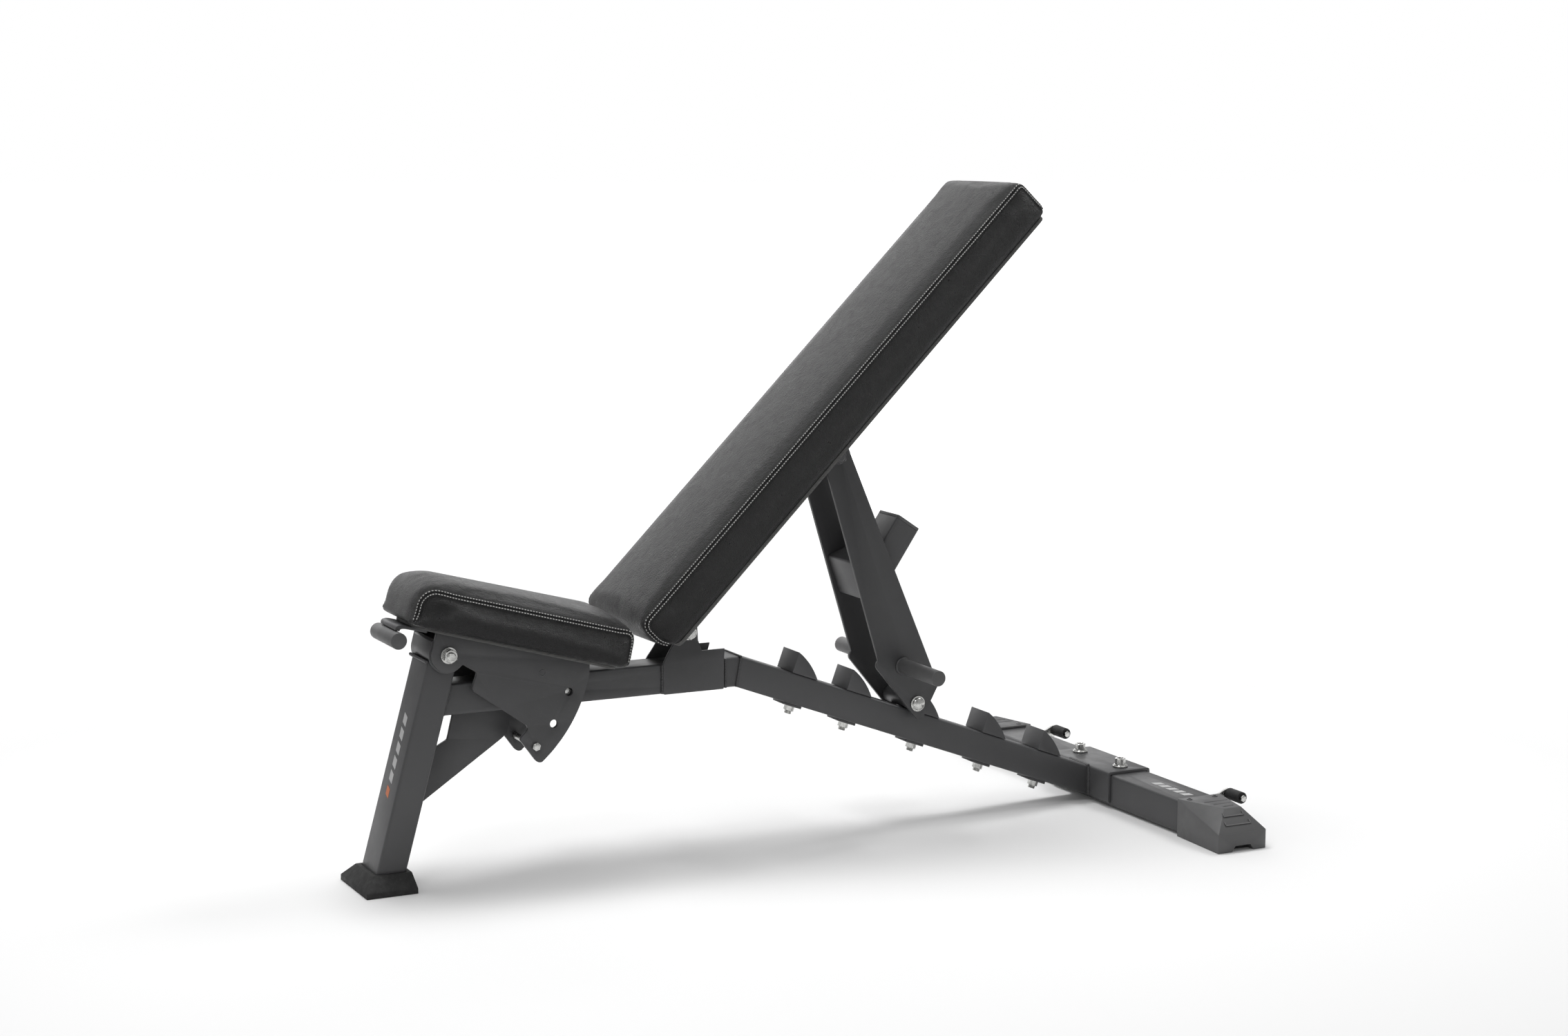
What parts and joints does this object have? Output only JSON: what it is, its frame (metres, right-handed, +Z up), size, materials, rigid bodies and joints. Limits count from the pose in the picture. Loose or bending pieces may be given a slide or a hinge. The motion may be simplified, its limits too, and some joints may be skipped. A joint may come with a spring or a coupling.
{
  "type": "adjustable weight bench",
  "caption": "Adjustable weight bench: tapered tilting seat and long backrest on a steel frame, with a notched ladder spine, prop strut with side grips and a rear cross foot.",
  "frame": {"origin": "on the floor, midway between the front foot's front edge and the rollers' backs, in the middle plane", "axes": "+X from the seat end towards the rear cross tube, +Y square to the middle plane, +Z up"},
  "size_m": [1.3964, 0.81, 1.0187],
  "materials": {
    "frame_coat": "satin charcoal-black powder coat",
    "vinyl": "grained black vinyl",
    "plastic": "moulded satin plastic",
    "rubber": "matt black rubber",
    "zinc": "bright zinc plate",
    "board": "dark-stained plywood"
  },
  "bodies": {
    "frame": {"leg_tube": "frame_coat", "foot_boot": "rubber", "leg_top_bracket": "frame_coat", "leg_gusset": "frame_coat", "spine_front_tube": "frame_coat", "spine_rear_tube": "frame_coat", "tooth_1": "frame_coat", "tooth_2": "frame_coat", "tooth_3": "frame_coat", "tooth_4": "frame_coat", "tooth_5": "frame_coat", "tooth_nut_1": "zinc", "tooth_nut_2": "zinc", "tooth_nut_3": "zinc", "tooth_nut_4": "zinc", "tooth_nut_5": "zinc", "saddle_near": "frame_coat", "saddle_far": "frame_coat", "back_hinge_bolt": "zinc", "seat_pivot_bolt": "zinc", "cross_tube": "frame_coat", "cover_bracket": "frame_coat", "cover_washer_near": "zinc", "cover_washer_far": "zinc", "cover_bolt_near": "zinc", "cover_bolt_far": "zinc", "rear_cap_near": "plastic", "rear_cap_far": "plastic", "roller_arm_near": "zinc", "roller_arm_far": "zinc"},
    "seat": {"seat_plate_near": "frame_coat", "seat_plate_far": "frame_coat", "seat_pad": "vinyl", "seat_board": "board", "seat_handle_strap": "frame_coat", "seat_handle_grip": "plastic", "seat_stop_bolt": "zinc"},
    "back": {"back_frame_tube": "frame_coat", "back_hinge_sleeve": "frame_coat", "strut_pivot_sleeve": "frame_coat", "back_mount_lower": "frame_coat", "back_mount_upper": "frame_coat", "back_pad": "vinyl", "back_board": "board", "strut_pivot_bolt": "zinc"},
    "strut": {"strut_plate_near": "frame_coat", "strut_plate_far": "frame_coat", "strut_cross_tube": "frame_coat", "strut_post": "frame_coat", "strut_post_cap": "plastic", "strut_grip_near": "plastic", "strut_grip_far": "plastic", "strut_bar": "frame_coat", "strut_bolt": "zinc"},
    "lock_near": {"seat_lock_near": "zinc"},
    "lock_far": {"seat_lock_far": "zinc"},
    "roller_near": {"roller_near": "rubber"},
    "roller_far": {"roller_far": "rubber"}
  },
  "joints": [
    {"name": "back_hinge", "type": "hinge", "parent": "frame", "child": "back", "pos_m": [-0.16925, 0, 0.346], "axis": [0, -1, 0], "range_deg": [0, 31]},
    {"name": "strut_hinge", "type": "hinge", "parent": "back", "child": "strut", "pos_m": [0.07781, 0, 0.60438], "axis": [0, -1, 0], "range_deg": [-30, 0]},
    {"name": "seat_hinge", "type": "hinge", "parent": "frame", "child": "seat", "pos_m": [-0.56095, 0, 0.3467], "axis": [0, -1, 0], "range_deg": [0, 15]},
    {"name": "seat_lock_near_slide", "type": "slide", "parent": "frame", "child": "lock_near", "axis": [0, -1, 0], "range_m": [0, 0.01]},
    {"name": "seat_lock_far_slide", "type": "slide", "parent": "frame", "child": "lock_far", "axis": [0, 1, 0], "range_m": [0, 0.01]},
    {"name": "roller_near_spin", "type": "hinge", "parent": "frame", "child": "roller_near", "pos_m": [0.68875, -0.262, 0.046], "axis": [0, 1, 0], "continuous": true},
    {"name": "roller_far_spin", "type": "hinge", "parent": "frame", "child": "roller_far", "pos_m": [0.68875, 0.262, 0.046], "axis": [0, 1, 0], "continuous": true}
  ],
  "couplings": [
    {"joint": "strut_hinge", "follows": "back_hinge", "ratio": -0.9}
  ]
}
